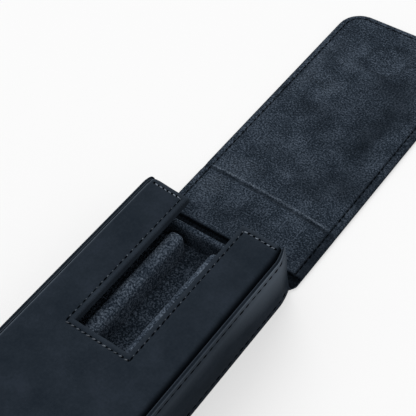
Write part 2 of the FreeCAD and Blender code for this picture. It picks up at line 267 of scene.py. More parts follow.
# Nickel-plated steel: a bright metal with a satin gloss.
steel = make_mottled("plated_steel", 0.4, [(0.4, "#BCBCBF"), (0.6, "#D2D2D5")], Roughness=0.35,
                     Metallic=1.0)

# %% [markdown]
# ## Finishes of the frame
# Each piece of the frame is named for what it is, so a word in its name gives its finish.

# %% Finishes of the frame
FINISHES = {"leather": leather, "lining": suede, "cover": suede, "board": board, "frame": board,
            "base": board, "core": board, "foam": foam, "magnet": steel}
for name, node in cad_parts.items():
    for word, material in FINISHES.items():
        if word in name:
            node.data.materials.clear()
            node.data.materials.append(material)
print("finished", len(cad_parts), "pieces of the frame")

# %% [markdown]
# ## How the soft pieces are modelled
# Each new piece starts as a plane or a cube of the right size. It is cut through where detail is needed,
# and then each of its points is moved to its place on the real form. A sculpted mesh could be freer, but
# this way every fold and groove has a size in millimetres, and the piece can be made again. In a script
# nothing is picked with the mouse, so faces and edges are chosen by a test of their place.

# %% Helpers for picking and cutting
def deselect():
    """Nothing selected, in object mode."""
    if bpy.context.object and bpy.context.object.mode != "OBJECT":
        bpy.ops.object.mode_set(mode="OBJECT")
    bpy.ops.object.select_all(action="DESELECT")


def pick(piece, mode="OBJECT"):
    """This piece alone selected, in a mode. In edit mode all of its faces are selected."""
    deselect()
    piece.select_set(True)
    bpy.context.view_layer.objects.active = piece
    bpy.ops.object.mode_set(mode=mode)
    if mode == "EDIT":
        bpy.ops.mesh.select_all(action="SELECT")


def start_box(name, low, high, flat=False):
    """A cube, or a plane where flat, between two corners in millimetres, left in edit mode."""
    deselect()
    low, high = Vector(low) * MM, Vector(high) * MM
    primitive = bpy.ops.mesh.primitive_plane_add if flat else bpy.ops.mesh.primitive_cube_add
    primitive(size=1, location=(low + high) / 2)
    piece = bpy.context.object
    piece.name = piece.data.name = name
    piece.scale = [max(side, 1e-9) if not flat or axis < 2 else 1 for axis, side in enumerate(high - low)]
    bpy.ops.object.transform_apply(location=True, rotation=True, scale=True)
    bpy.ops.object.mode_set(mode="EDIT")
    return piece


def cut(places, axis):
    """Cuts the piece in edit mode straight through at these places along an axis."""
    for place in places:
        bpy.ops.mesh.select_all(action="SELECT")
        point = [place * MM if index == axis else 0 for index in range(3)]
        across = [1 if index == axis else 0 for index in range(3)]
        bpy.ops.mesh.bisect(plane_co=point, plane_no=across)


def choose(kind, test):
    """Selects the faces or edges that pass a test of the part and of its middle in millimetres."""
    bpy.ops.mesh.select_mode(type=kind)
    bpy.ops.mesh.select_all(action="DESELECT")
    data = bpy.context.object.data
    mesh = bmesh.from_edit_mesh(data)
    for part in mesh.faces if kind == "FACE" else mesh.edges:
        middle = sum((vertex.co for vertex in part.verts), Vector()) / len(part.verts) / MM
        part.select_set(bool(test(part, middle)))
    mesh.select_flush_mode()
    bmesh.update_edit_mesh(data)


print(len(bpy.context.selected_objects), "objects are still selected, so each step deselects them first")


# %% Helpers for shaping and finishing
def reshape(piece, place, worn=None):
    """Moves each point to the place that a function gives in millimetres. Another may give its rubbing and
    painted light.
    """
    deselect()
    if worn:
        wear = piece.data.attributes.new("wear", "FLOAT", "POINT")
        for vertex in piece.data.vertices:
            wear.data[vertex.index].value = worn(*(vertex.co / MM))
    for vertex in piece.data.vertices:
        vertex.co = Vector(place(*(vertex.co / MM))) * MM
    piece.data.update()


def thicken(piece, thickness, offset):
    """Gives a sheet of leather its thickness in millimetres, to one side of it."""
    pick(piece)
    solid = piece.modifiers.new("leather", "SOLIDIFY")
    solid.thickness = thickness * MM
    solid.offset = offset
    bpy.ops.object.modifier_apply(modifier="leather")


def finish(piece, material, slot, angle=40):
    """Smooth shading, outward faces and a material. The slot is not used."""
    pick(piece, "EDIT")
    bpy.ops.mesh.normals_make_consistent(inside=False)
    bpy.ops.object.mode_set(mode="OBJECT")
    bpy.ops.object.shade_smooth_by_angle(angle=math.radians(angle))
    piece.data.materials.clear()
    piece.data.materials.append(material)
    print(piece.name, len(piece.data.polygons), "faces")
    deselect()


print("helpers:", ", ".join(helper.__name__ for helper in (cut, choose, reshape, thicken, finish)))


# %% [markdown]
# ## Curves in numbers
# Soft forms need few curves: an even slope from one height to another, the rounding of an edge, the dip
# that a stitch pulls, and a corner. Each is a small function, so the same curve can shape a piece and
# also place its wear.

# %% Curves in numbers
def fill(places, spacing):
    """Sorted places, with more put between those that lie too far apart."""
    places = sorted(set(round(place, 3) for place in places))
    filled = []
    for near, far in zip(places, places[1:]):
        steps = math.ceil((far - near) / spacing)
        filled += [near + (far - near) * step / steps for step in range(steps)]
    return filled + [places[-1]]


def smooth(value, low, high):
    """0 before low, 1 after high, and an even S between."""
    share = min(max((value - low) / (high - low), 0), 1)
    return share * share * (3 - 2 * share)


def quarter(distance, radius):
    """How far a rounded edge has dropped at this distance inside the edge."""
    if distance >= radius:
        return 0
    return radius - math.sqrt(max(radius ** 2 - (radius - max(distance, 0)) ** 2, 0))


def dent(distance, depth, width):
    """A soft groove."""
    return depth * math.exp(-(distance / width) ** 2)


def round_corner(across, along):
    """Bends a square corner of a lattice to a quarter circle. Both are distances past its centre."""
    if across <= 0 or along <= 0:
        return across, along
    far = max(across, along)
    turn = math.pi / 4 * min(across, along) / far
    turn = turn if across >= along else math.pi / 2 - turn
    return far * math.cos(turn), far * math.sin(turn)


print("an edge rounded by 2 mm has dropped", round(quarter(1, 2), 2), "mm halfway")


# %% [markdown]
# ## The front panel
# The front is a board with leather drawn over it. Its leather is turned in round the window and along the
# mouth, and falls in a soft shoulder to the sewn rim on the other three sides. A beveled box could stand
# for it, but a sheet that is cut to a lattice can carry the shoulder, the turned edges and the small dips
# that the stitches pull into the surface.

# %% Sizes of the case
HALF = 46.0
LENGTH = 180.0
DEPTH = 37.5
LEATHER = 1.1
END_RADIUS = 12.0
PANEL = 3.6
CROWN = 0.7
# The right shoulder (1) is softer than the left one (-1).
SHOULDER_WIDTH = {1: 4.6, -1: 1.4}
SHOULDER_DROP = {1: 3.3, -1: 1.9}
FRONT_Y = -1.2
WINDOW_HALF = 17.05
WINDOW_END = -94.2
TURN = 1.3
SIDE_MARGIN = 3.2
END_MARGIN = 3.6
MOUTH_MARGIN = 3.3
WINDOW_SHIFT = -0.85
FRONT_HALF = HALF - 2 * LEATHER
FRONT_END = -LENGTH + 2 * LEATHER
FRONT_RADIUS = END_RADIUS - 2 * LEATHER
MAGNET_MARK = (0.0, -128.0, 12.6)
GROOVE_DEPTH, GROOVE_WIDTH = 0.4, 0.8
print("the window is", 2 * WINDOW_HALF, "by", FRONT_Y - WINDOW_END, "mm")

# %% [markdown]
# ## What the sewing does to the front
# The stitches pull the corners of the mouth inwards, dent the leather along their rows, and leave it
# crowned between them. Each of these is a rule for where a point goes, so the panel, the walls and the
# seams can all follow the same rules and stay together.

# %% Rules for the front panel
def drawn_in(x, y, z):
    """The sewn mouth draws the ends of both side walls in, the right one the most."""
    if x > 0:
        pull = 2.3 + 1.1 * smooth(z, 0, 16) + 0.9 * smooth(z, 26, 36)
        start = -12
    else:
        pull, start = 1.5, -6
    pull *= max((y - start) / -start, 0) ** 1.6
    share = max((abs(x) - 30) / 16, 0) ** 2.2
    return x - math.copysign(pull * share, x), y, z


def window_shift(x, y):
    """The window was cut a little to the left."""
    return WINDOW_SHIFT * (1 - smooth(abs(x), 21, 38)) * smooth(y, -130, -98)


def beside_window(x, y):
    """Distance from the edge of the window."""
    across, along = abs(x) - WINDOW_HALF, WINDOW_END - y
    if along <= 0:
        return across
    return math.hypot(max(across, 0), along)


def on_stitch_line(x, y):
    """Distance from the row of stitches round the window."""
    across = abs(abs(x) - WINDOW_HALF - SIDE_MARGIN)
    along = abs(WINDOW_END - END_MARGIN - y)
    if y > WINDOW_END - END_MARGIN + 0.01:
        return across
    if abs(x) > WINDOW_HALF + SIDE_MARGIN:
        return math.hypot(across, along)
    return along


def front_place(x, y, _):
    """Where a point of the flat lattice lies on the front panel."""
    side = 1 if x > 0 else -1
    near = min(FRONT_HALF - abs(x), y - FRONT_END)
    across = abs(x) - (FRONT_HALF - FRONT_RADIUS)
    along = FRONT_END + FRONT_RADIUS - y
    if across > 0 and along > 0:
        near = FRONT_RADIUS - max(across, along)
        across, along = round_corner(across, along)
        x = side * (FRONT_HALF - FRONT_RADIUS + across)
        y = FRONT_END + FRONT_RADIUS - along
    lean = smooth(x, -12, 12)
    width = SHOULDER_WIDTH[-1] + (SHOULDER_WIDTH[1] - SHOULDER_WIDTH[-1]) * lean
    fall = SHOULDER_DROP[-1] + (SHOULDER_DROP[1] - SHOULDER_DROP[-1]) * lean
    width -= (width - 1.6) * 0.45 * smooth(y, -22, -2)
    drop = quarter(near, width) * fall / width
    drop += quarter(FRONT_Y - y, TURN) + quarter(beside_window(x, y), TURN)
    drop += dent(on_stitch_line(x, y), GROOVE_DEPTH, GROOVE_WIDTH)
    if abs(x) > WINDOW_HALF + SIDE_MARGIN - 1:
        drop += dent(FRONT_Y - MOUTH_MARGIN - y, GROOVE_DEPTH, GROOVE_WIDTH)
    ring = math.hypot(x - MAGNET_MARK[0], y - MAGNET_MARK[1]) - MAGNET_MARK[2]
    drop += dent(ring, 0.12, 1.0)
    z = DEPTH + CROWN * smooth(near, -1.5, 5) - min(drop, PANEL)
    slack = 0.9 * smooth(x, 20, 42) if x > 0 else 1.0 - smooth(-x, 22, 42)
    y -= slack * smooth(y, -12, FRONT_Y)
    x += window_shift(x, y)
    return drawn_in(x, y, z)


print("the right corner of the mouth is drawn in by", round(HALF - drawn_in(HALF, 0, DEPTH)[0], 1), "mm")

# %% [markdown]
# ## Cut and fold the front panel
# The panel is a flat sheet first, cut through where its edges, turns and stitches will need points, with
# the window taken out. Then its points are moved by the rules, its edges are folded down, and the sheet
# is thickened inwards. Folding after moving keeps the turned edges upright.

# %% Model the front panel
EDGE_STEPS = [0, 0.06, 0.22, 0.5, 0.9, 1.4, 2.1, 3.0, 3.8, 4.6]
TURN_STEPS = [0, 0.07, 0.25, 0.6, 1.0, 1.4]
EDGE_FOLD = 0.3

x_places = [side * (FRONT_HALF - step) for step in EDGE_STEPS for side in (-1, 1)]
for step in TURN_STEPS + [SIDE_MARGIN - 0.8, SIDE_MARGIN, SIDE_MARGIN + 0.8, SIDE_MARGIN + 1.8]:
    x_places += [side * (WINDOW_HALF + step) for side in (-1, 1)]
y_places = [FRONT_END + step for step in EDGE_STEPS]
y_places += [FRONT_Y - step for step in TURN_STEPS]
y_places += [FRONT_Y - MOUTH_MARGIN + step for step in (-1.6, -0.8, 0, 0.8, 1.4)]
y_places += [WINDOW_END - step for step in TURN_STEPS]
y_places += [WINDOW_END - END_MARGIN + step for step in (-1.6, -0.8, 0, 0.8)]
x_places = fill(x_places, 3.2)
y_places = fill(y_places, 3.4)

front = start_box("front_panel", (-FRONT_HALF, FRONT_END, DEPTH), (FRONT_HALF, FRONT_Y, DEPTH), flat=True)
cut(x_places[1:-1], 0)
cut(y_places[1:-1], 1)
choose("FACE", lambda face, middle: abs(middle.x) < WINDOW_HALF and middle.y > WINDOW_END)
bpy.ops.mesh.delete(type="FACE")


def front_wear_and_painted_light(x, y, _):
    """Painted highlight on the left edge's rounding, painted shade on the right one by the rim, and the
    turned edges a little lighter, partly worn and partly painted highlight.
    """
    near = min(FRONT_HALF - abs(x), y - FRONT_END)
    beside = smooth(y - FRONT_END, 6, 26)
    # Painted highlight where the left shoulder turns towards the light.
    left_shoulder_highlight = 0.55 * beside * dent(near - 0.5, 1, 0.6) if x < 0 else 0
    # The turned edges at the window and mouth: partly rubbed, partly painted highlight.
    window = 0.03 * (1 - smooth(beside_window(x, y), 1.6, SIDE_MARGIN))
    mouth = 0.05 * (1 - smooth(FRONT_Y - y, 1.2, MOUTH_MARGIN))
    # Painted shade on the right shoulder, darkest at the groove by the rim.
    right_groove_shade = 0.95 * beside * (1 - smooth(near, 1.2, 3.8)) if x > 0 else 0
    return max(left_shoulder_highlight, window, mouth) - right_groove_shade


reshape(front, front_place, front_wear_and_painted_light)
pick(front, "EDIT")
choose("EDGE", lambda edge, middle: edge.is_boundary)
for fold in (EDGE_FOLD, 5):
    bpy.ops.mesh.extrude_edges_move(TRANSFORM_OT_translate={"value": (0, 0, -fold * MM)})
deselect()
for vertex in front.data.vertices:
    vertex.co.z = max(vertex.co.z, (DEPTH - PANEL) * MM)
thicken(front, LEATHER - 0.1, -1)
finish(front, leather, "case_leather")
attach(front, "case")


# %% [markdown]
# ## The side walls and the rims
# One strip of leather runs round both sides and the closed end. Its edge stands up beside the turned edge
# of the front panel, and a row of stitches holds the two together as a rim. Both are drawn as a profile
# that is pulled along the case and spun round the corners.

# %% Walk round the case
SIDE_RUN = LENGTH - END_RADIUS
CORNER_RUN = END_RADIUS * math.pi / 2
HALFWAY = SIDE_RUN + CORNER_RUN + HALF - END_RADIUS
WALL_SWELL = 0.5
RIM_ROW = 34.4
BASE_ROW = 4.2


def walk(run, out):
    """The place after a run round the case from its right mouth corner, out from the corners' centres."""
    side = 1 if run <= HALFWAY else -1
    run = min(run, 2 * HALFWAY - run)
    centre = HALF - END_RADIUS
    if run <= SIDE_RUN:
        return side * (centre + out), -run
    if run <= SIDE_RUN + CORNER_RUN:
        turn = (run - SIDE_RUN) / END_RADIUS
        return side * (centre + out * math.cos(turn)), -SIDE_RUN - out * math.sin(turn)
    return side * (centre - (run - SIDE_RUN - CORNER_RUN)), -SIDE_RUN - out


print("a walk round the case is", round(2 * HALFWAY), "mm")

# %% [markdown]
# ## A strip of leather on edge
# Both plies of the rim and the wall are strips that stand on edge. Each is drawn straight, as a box whose
# axes are out, along and up, and then bent round the case. So its lips and ends are rounded while it is
# straight, which is far simpler than doing it in a corner.

# %% A strip of leather on edge
ROUND_STEPS = [0, 0.1, 0.4, 0.9, 1.6, 2.5]
MOUTH_STEPS = [3.6, 4.8, 6, 7.5, 9, 10.5, 12, 15, 20, 30, 42]
LIP_STEPS = [0, 0.06, 0.2, 0.4]
LIP_ROUND = 0.25
CORNER_CUTS = 9


def strip(name, outs, z_low, z_high, setback, round_low, round_high, z_extra=()):
    """A standing strip of leather all round the case, rounded at its lips and at its mouth ends."""
    corner = [SIDE_RUN + CORNER_RUN * step / CORNER_CUTS for step in range(CORNER_CUTS + 1)]
    half_run = [setback + step for step in ROUND_STEPS + MOUTH_STEPS] + corner
    run_places = half_run + [HALFWAY] + [2 * HALFWAY - run for run in half_run]
    steps = [step for step in LIP_STEPS + ROUND_STEPS if step <= (z_high - z_low) / 2]
    z_places = [z_low + step for step in steps] + [z_high - step for step in steps]
    lips = (0.15, LIP_ROUND)
    low, high = (outs[0], setback, z_low), (outs[1], 2 * HALFWAY - setback, z_high)
    piece = start_box(name, low, high)
    cut(fill(z_places + list(z_extra), 4)[1:-1], 2)
    cut(fill(run_places, 6)[1:-1], 1)
    cut([outs[0] + lip for lip in lips] + [outs[1] - lip for lip in reversed(lips)], 0)

    def place(out, run, z):
        middle = (outs[0] + outs[1]) / 2
        lip = min(z - z_low, z_high - z)
        if out >= outs[0] - 0.01:
            pinch = quarter(max(lip, 0), LIP_ROUND) / ((outs[1] - outs[0]) / 2)
            out = middle + (out - middle) * (1 - pinch)
        mirrored = run > HALFWAY
        run = 2 * HALFWAY - run if mirrored else run
        for level, radius, sign in ((z_low, round_low, -1), (z_high, round_high, 1)):
            across, along = radius - (run - setback), radius - sign * (level - z)
            if across > 0 and along > 0:
                across, along = round_corner(across, along)
                run = setback + radius - across
                z = level - sign * (radius - along)
        out += WALL_SWELL * math.sin(math.pi * z / DEPTH) * smooth(run, 4, 30)
        if name == "side_walls":
            out -= (dent(z - RIM_ROW, 0.25, 0.6) + dent(z - BASE_ROW, 0.25, 0.6)) * smooth(out, 11.2, 11.9)
        run = 2 * HALFWAY - run if mirrored else run
        x, y = walk(run, out)
        return drawn_in(x, y, z)
    return piece, place


print("each corner is cut", CORNER_CUTS, "times, every", round(CORNER_RUN / CORNER_CUTS, 1), "mm")

# %% [markdown]
# ## Side walls and rims
# The wall's leather stands proud of the front panel as the outer ply of the rim, and a narrower strip is
# its inner ply, with a dark groove between them. A third strip is the rim at the foot. They could be one
# solid, but three strips leave the real groove, which is what makes a sewn edge look sewn.

# %% Model the side walls
row_places = [row + step for row in (RIM_ROW, BASE_ROW) for step in (-0.9, -0.5, 0, 0.5, 0.9)]
walls, wall_place = strip("side_walls", (END_RADIUS - LEATHER, END_RADIUS), 0, DEPTH, 0, 1.0, 2.5,
                          row_places)


def wall_wear_and_painted_light(out, run, z):
    """Painted highlight on the rim's outer edge and in bands by the stitch rows, painted sheen near the
    mouth, painted shade in the rows and low down, and a dark top edge.
    """
    mouth = min(run, 2 * HALFWAY - run)
    # Painted highlight along the rounded outer edge of the rim.
    edge = 0.12 * dent(z - DEPTH + 0.35, 1, 0.4) * smooth(out, 11.7, 11.95)
    # Painted highlight in pale bands above and below the rows of stitches.
    row_band_highlight = 0.12 * dent(z - RIM_ROW - 0.75, 1, 0.35)
    row_band_highlight += 0.15 * dent(z - BASE_ROW + 1.5, 1, 0.6) + 0.06 * dent(z - 30.5, 1, 3)
    # Painted shade along the rows of stitches.
    row = 0.2 * dent(z - RIM_ROW, 1, 0.4) + 0.1 * dent(z - BASE_ROW, 1, 0.5)
    # Painted sheen high on the wall near the mouth, stronger on the right side, and painted shade low on the
    # wall.
    mouth_sheen_and_low_shade = 0.42 if run < HALFWAY else 0.15
    mouth_sheen_and_low_shade *= smooth(z, 2, 33) * (1 - 0.85 * smooth(mouth, 6, 70)) * (0.6 + 0.4 * smooth(mouth, 0, 12))
    mouth_sheen_and_low_shade -= 0.2 * (1 - smooth(z, 2, 30)) * (0.4 + 0.6 * smooth(mouth, 0, 60))
    top = 0.3 * smooth(z, 37.2, 37.4) * (1 - smooth(out, 11.7, 11.9))
    return edge - top + (row_band_highlight + mouth_sheen_and_low_shade - row) * smooth(out, 11.3, 12)


reshape(walls, wall_place, wall_wear_and_painted_light)
finish(walls, leather, "case_leather")
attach(walls, "case")

# %% Model the rims
lip_outs = (END_RADIUS - 2 * LEATHER, END_RADIUS - LEATHER - 0.04)
front_rim, rim_place = strip("front_rim", lip_outs, DEPTH - PANEL, DEPTH - 0.1, -FRONT_Y, 0.4, 2.5)


def rim_wear_and_painted_light(out, _, z):
    """The inner ply of the rim has a painted highlight along its inner lip, and is dark where it meets the
    outer ply.
    """
    # Painted highlight on the inner lip; the dark part is where the plies are glued.
    across = 0.1 * (1 - smooth(out, 9.95, 10.2)) - 0.25 * smooth(out, 10.0, 10.6)
    return across * smooth(z, 36.6, 37.2)


reshape(front_rim, rim_place, rim_wear_and_painted_light)
finish(front_rim, leather, "case_leather")
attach(front_rim, "case")
back_rim, back_rim_place = strip("back_rim", lip_outs, 0.1, PANEL, 0.6, 1.0, 0.4)
reshape(back_rim, back_rim_place)
finish(back_rim, leather, "case_leather")
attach(back_rim, "case")
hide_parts("front_leather")
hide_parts("front_leather")
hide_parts("gusset_leather")


# %% [markdown]
# ## Linings and boards at the mouth
# The linings and stiffeners are flat in the frame, but the sewn mouth draws the leather in. On the real
# case the stiffeners of the side walls stop short of the mouth. So a copy of each is cut off there, and
# the layers of the front panel are moved by the same rule as its leather.

# %% Copy them
SHORT_END = -9.0
LINING_OUTER, LINING_INNER = 44.9, 43.3
TURN_THICK = 0.6


def copy_node(name, ending):
    """A merged copy of a frame node, left in edit mode."""
    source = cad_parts[name]
    copy = source.copy()
    copy.data = source.data.copy()
    copy.name = copy.data.name = name + ending
    copy.parent = None
    bpy.context.scene.collection.objects.link(copy)
    pick(copy, "EDIT")
    bpy.ops.mesh.remove_doubles(threshold=1e-6)
    return copy


def move_with_front(x, y, z):
    """A layer under the front panel's leather goes where the leather goes."""
    return drawn_in(x + window_shift(x, y), y, z)


def follow_mouth(name, slot):
    """A copy of a frame node that ends short of the mouth, or is drawn in with the leather."""
    copy = copy_node(name, "_at_mouth")
    if "front" in name:
        cut([-3, -6, -9, -12, -94, -100, -110, -120, -130], 1)
        cut([-38, -34, -30, -26, -22, 22, 26, 30, 34, 38], 0)
        reshape(copy, move_with_front)
    else:
        bpy.ops.mesh.select_all(action="SELECT")
        bpy.ops.mesh.bisect(plane_co=(0, SHORT_END * MM, 0), plane_no=(0, 1, 0), use_fill=True,
                            clear_outer=True)
    finish(copy, copy.data.materials[0], slot)
    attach(copy, "case")
    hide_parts(name)


for name in ("front_board", "left_side_board", "right_side_board"):
    follow_mouth(name, "board")
for name in ("front_lining", "gusset_lining"):
    follow_mouth(name, "suede")

# %% [markdown]
# ## The suede turned over the side boards' ends
# On the real case the suede wraps round the end of each side board. A narrow upright slip with a rounded
# front stands for the turned edge, because the flat lining in the frame ends in a cut.

# %% Turned edges of the side lining
for side, name in ((-1, "left"), (1, "right")):
    near, far = sorted((side * LINING_INNER, side * LINING_OUTER))
    turned = start_box(name + "_lining_turn", (near, SHORT_END, PANEL),
                       (far, SHORT_END + TURN_THICK, DEPTH - PANEL))
    choose("EDGE", lambda edge, middle: middle.y > SHORT_END + 0.5 and abs(middle.z - DEPTH / 2) < 1)
    bpy.ops.mesh.bevel(offset=0.5 * MM, segments=4, affect="EDGES")
    finish(turned, suede, "suede")
    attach(turned, "case")


# %% [markdown]
# ## The back panel, the flap and their suede
# The flap is one long piece of leather that starts under the case as its back panel. Suede lines it, and
# between them lie stiff boards with a gap at each fold. Each layer is made in two pieces that meet in the
# middle of the bridge, because each piece may bend at one fold only.

# %% Sizes of the flap
FLAP_HALF = 46.5
MIDDLE_Y = 24.75
FLAP_END = 207.7
FLAP_RADIUS = 15.0
BACK_SHOULDER = 3.0
GUTTER = (3.0, 7.0)
CREASE = (42.4, 46.6)
FLAP_TOP = 3.0
STITCH_MARGIN = 4.3
FLAP_STEPS = [0, 0.08, 0.3, 0.7, 1.2, 2.0, 3.3, STITCH_MARGIN, 5.3, 6.5]
FLARE_LOW, FLARE_RUN = 44.9, 3.6
PLAN_BORDER = 9


def board_share(y):
    """1 where a board stiffens the flap, and 0 in the folds."""
    gap = 1 - smooth(y, GUTTER[0] + 3.2, GUTTER[1] + 1.2)
    crease = smooth(y, CREASE[0] - 1.4, CREASE[0]) * (1 - smooth(y, CREASE[1], CREASE[1] + 1.4))
    return 1 - max(gap, crease)


def flap_half(y, inset):
    """Half the flap's width at a place along it, flaring where it leaves the mouth."""
    if y > FLARE_RUN:
        return FLAP_HALF - inset
    share = math.sin(math.pi / 2 * min(max(y / FLARE_RUN, 0), 1))
    return FLARE_LOW + (FLAP_HALF - FLARE_LOW) * share - inset


def in_plan(x, y, half, low, low_radius, high, high_radius, widest):
    """Fits a lattice point to a plan with rounded ends. Gives its place and distance from the edge."""
    side = 1 if x > 0 else -1
    edge = widest - abs(x)
    x = half - edge if edge < PLAN_BORDER else (half - PLAN_BORDER) * abs(x) / (widest - PLAN_BORDER)
    near = half - x
    for end, radius, sign in ((low, low_radius, -1), (high, high_radius, 1)):
        if radius == 0:
            continue
        across, along = x - (half - radius), sign * (y - end) + radius
        near = min(near, radius - along)
        if across > 0 and along > 0:
            near = radius - max(across, along)
            across, along = round_corner(across, along)
            x, y = half - radius + across, end + sign * (along - radius)
    return side * x, y, near


print("the flap is", 2 * FLAP_HALF, "mm wide and ends", FLAP_END, "mm from the mouth")

# %% [markdown]
# ## Leather of the back and the flap
# The leather is a flat sheet whose edge is turned up round the boards, with a shallow groove under the
# stitches. Each half bends at one fold, so it has many narrow strips there and few elsewhere. A cloth
# simulation could bend it, but the two folds have to work at every angle, and these strips do that.

# %% Rules for the flap's leather
def lower_leather_place(x, y, _):
    """The back panel with its rounded far corners, and the near half of the bridge."""
    half = FRONT_HALF + (flap_half(y, 0) - FRONT_HALF) * smooth(y, -1.6, 0.1)
    x, y, near = in_plan(x, y, half, FRONT_END, FRONT_RADIUS, 0, 0, FLAP_HALF)
    flat = smooth(y, -3.5, -0.2)
    z = (1 - flat) * quarter(near, BACK_SHOULDER) + flat * quarter(near, 0.5)
    return x, y, z + dent(near - STITCH_MARGIN, 0.4, 0.7) * smooth(y, 1, 4)


def upper_leather_place(x, y, _):
    """The far half of the bridge, and the lid with its rounded corners."""
    x, y, near = in_plan(x, y, FLAP_HALF, 0, 0, FLAP_END, FLAP_RADIUS, FLAP_HALF)
    return x, y, quarter(near, 0.5) + dent(near - STITCH_MARGIN, 0.4, 0.7)


def wall_top(y):
    """How high the leather is turned up at its edge."""
    if y < 0:
        return PANEL + (LEATHER - PANEL) * smooth(y, -1.5, 0)
    return LEATHER + 0.3 * board_share(y)


print("the leather's edge is turned up", round(wall_top(100), 1), "mm")

# %% Model the flap's leather
def cut_sheet(places, low, high, spacing):
    """Cuts a sheet of the flap in edit mode: along both edges, and across at these places."""
    x_places = [side * (FLAP_HALF - step) for step in FLAP_STEPS + [PLAN_BORDER] for side in (-1, 1)]
    cut(fill(x_places, spacing)[1:-1], 0)
    cut(fill(places + [low, high], spacing)[1:-1], 1)


def flap_leather(name, low, high, place, y_places):
    """A sheet of leather with its edges turned up, thickened inwards."""
    sheet = start_box(name, (-FLAP_HALF, low, 0), (FLAP_HALF, high, 0), flat=True)
    cut_sheet(y_places, low, high, 4.5)
    reshape(sheet, place)
    pick(sheet, "EDIT")
    choose("EDGE", lambda edge, middle: edge.is_boundary and abs(middle.y - MIDDLE_Y) > 0.01)
    bpy.ops.mesh.extrude_edges_move(TRANSFORM_OT_translate={"value": (0, 0, 10 * MM)})
    deselect()
    for vertex in sheet.data.vertices:
        if vertex.co.z > 5 * MM:
            vertex.co.z = wall_top(vertex.co.y / MM) * MM
    pick(sheet, "EDIT")
    bpy.ops.mesh.normals_make_consistent(inside=False)
    choose("FACE", lambda face, middle: abs(middle.x) < 1 and abs(middle.y - MIDDLE_Y) < 12
           and middle.z < 0.1)
    points_up = any(face.normal.z > 0 for face in bmesh.from_edit_mesh(sheet.data).faces if face.select)
    thicken(sheet, LEATHER - 0.05, 1 if points_up else -1)
    finish(sheet, leather, "case_leather")
    return sheet


fold_places = [-5, -3.5, -2.5, -1.6, -0.8, -0.2, 0.1, 0.6, 1.2, 1.8, 2.4, 3.0, 3.6, 4.2, 5, 5.8, 6.3]
fold_places += [6.6, 6.85, 7.1, 7.35, 7.6, 8.2, 9]
end_places = [FRONT_END + step for step in EDGE_STEPS]
lower_leather = flap_leather("back_and_bridge_leather", FRONT_END, MIDDLE_Y, lower_leather_place,
                             fold_places + end_places)
crease_places = [39, 40, 41] + [41.6 + 0.3 * step for step in range(23)] + [49.5]
far_places = [FLAP_END - step for step in FLAP_STEPS]
upper_leather = flap_leather("lid_and_bridge_leather", MIDDLE_Y, FLAP_END, upper_leather_place,
                             crease_places + far_places)
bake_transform(lower_leather)
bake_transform(upper_leather)
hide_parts("back_leather", "bridge_leather")
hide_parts("bridge_leather", "lid_leather")


# %% [markdown]
# ## Suede of the back and the flap
# The suede is glued over the boards, so its height tells what lies beneath: it sinks at the two folds and
# along the stitches, slopes down outside them, and shows a round mark over the magnet. It is a thin solid
# whose upper side follows that height. Bump alone would show none of it against the light.

# %% Height of the suede
LID_MAGNET = (-1.0, 175.5, 12.4)
GUTTER_TOP = 1.55
BORDER_DROP = 1.1
LINING_END, LINING_HALF, LINING_RADIUS = -176.6, 42.6, 8.6
SUEDE_INSET = 0.3


def crease_line(x):
    """The crease runs a little askew, as the hand that pressed it did."""
    return 46.0 - 0.047 * x - 0.0007 * x * x


def crease_depth(x, y):
    """The suede sinks before the crease and stands up in a low ridge along it."""
    past = y - crease_line(x)
    return dent(past + 1.8, 0.3, 1.4) - dent(past, 0.12, 0.7)


def suede_top(x, y, near):
    """Height of the suede's upper face."""
    z = 3.6 + (GUTTER_TOP - 3.6) * smooth(y, -1.4, 0.3) + (FLAP_TOP - GUTTER_TOP) * smooth(y, 6.6, 7.6)
    if y > 0:
        z -= dent(near - STITCH_MARGIN + 0.3, 0.4, 0.8) * board_share(y)
        z -= 0.12 * (1 - smooth(near, STITCH_MARGIN - 1.2, STITCH_MARGIN))
    z = max(z - crease_depth(x, y), LEATHER + 1.45 * board_share(y) + 0.1)
    if y > 0:
        z -= BORDER_DROP * max(1 - near / STITCH_MARGIN, 0) * smooth(y, 6.2, 8.2)
    ring = math.hypot(x - LID_MAGNET[0], y - LID_MAGNET[1]) - LID_MAGNET[2]
    z += 0.12 * (1 - smooth(ring, -1.5, 0.6)) - dent(ring - 0.8, 0.16, 0.8)
    return z - quarter(near, 0.5)


def suede_place(x, y, z, half, low, low_radius, high, high_radius):
    """Where a point of the suede's upper or lower side lies."""
    x, y, near = in_plan(x, y, half, low, low_radius, high, high_radius, FLAP_HALF)
    top = suede_top(x, y, near)
    under = min(top - 0.35, LEATHER + 1.3 * board_share(y)) if y > -1 else PANEL - 0.8
    return x, y, top if z > 0.5 else under


print("the suede's top lies at", round(suede_top(0, 100, 40), 2), "mm on the lid's board")

# %% [markdown]
# ## Tone of the suede
# A hand leaves soft patches where it brushes the nap up or down, and the crease is rubbed pale, with a
# painted highlight on its ridge as well. Painted shade is put in before the crease, in the gutter, along the
# stitches, on the right border and round the magnet's mark, and two patches by the mouth are a painted
# shadow of the case. The patches are placed one by one, with edges that a slow noise makes uneven. An even
# noise all over could give patches too, but not where a case is handled.

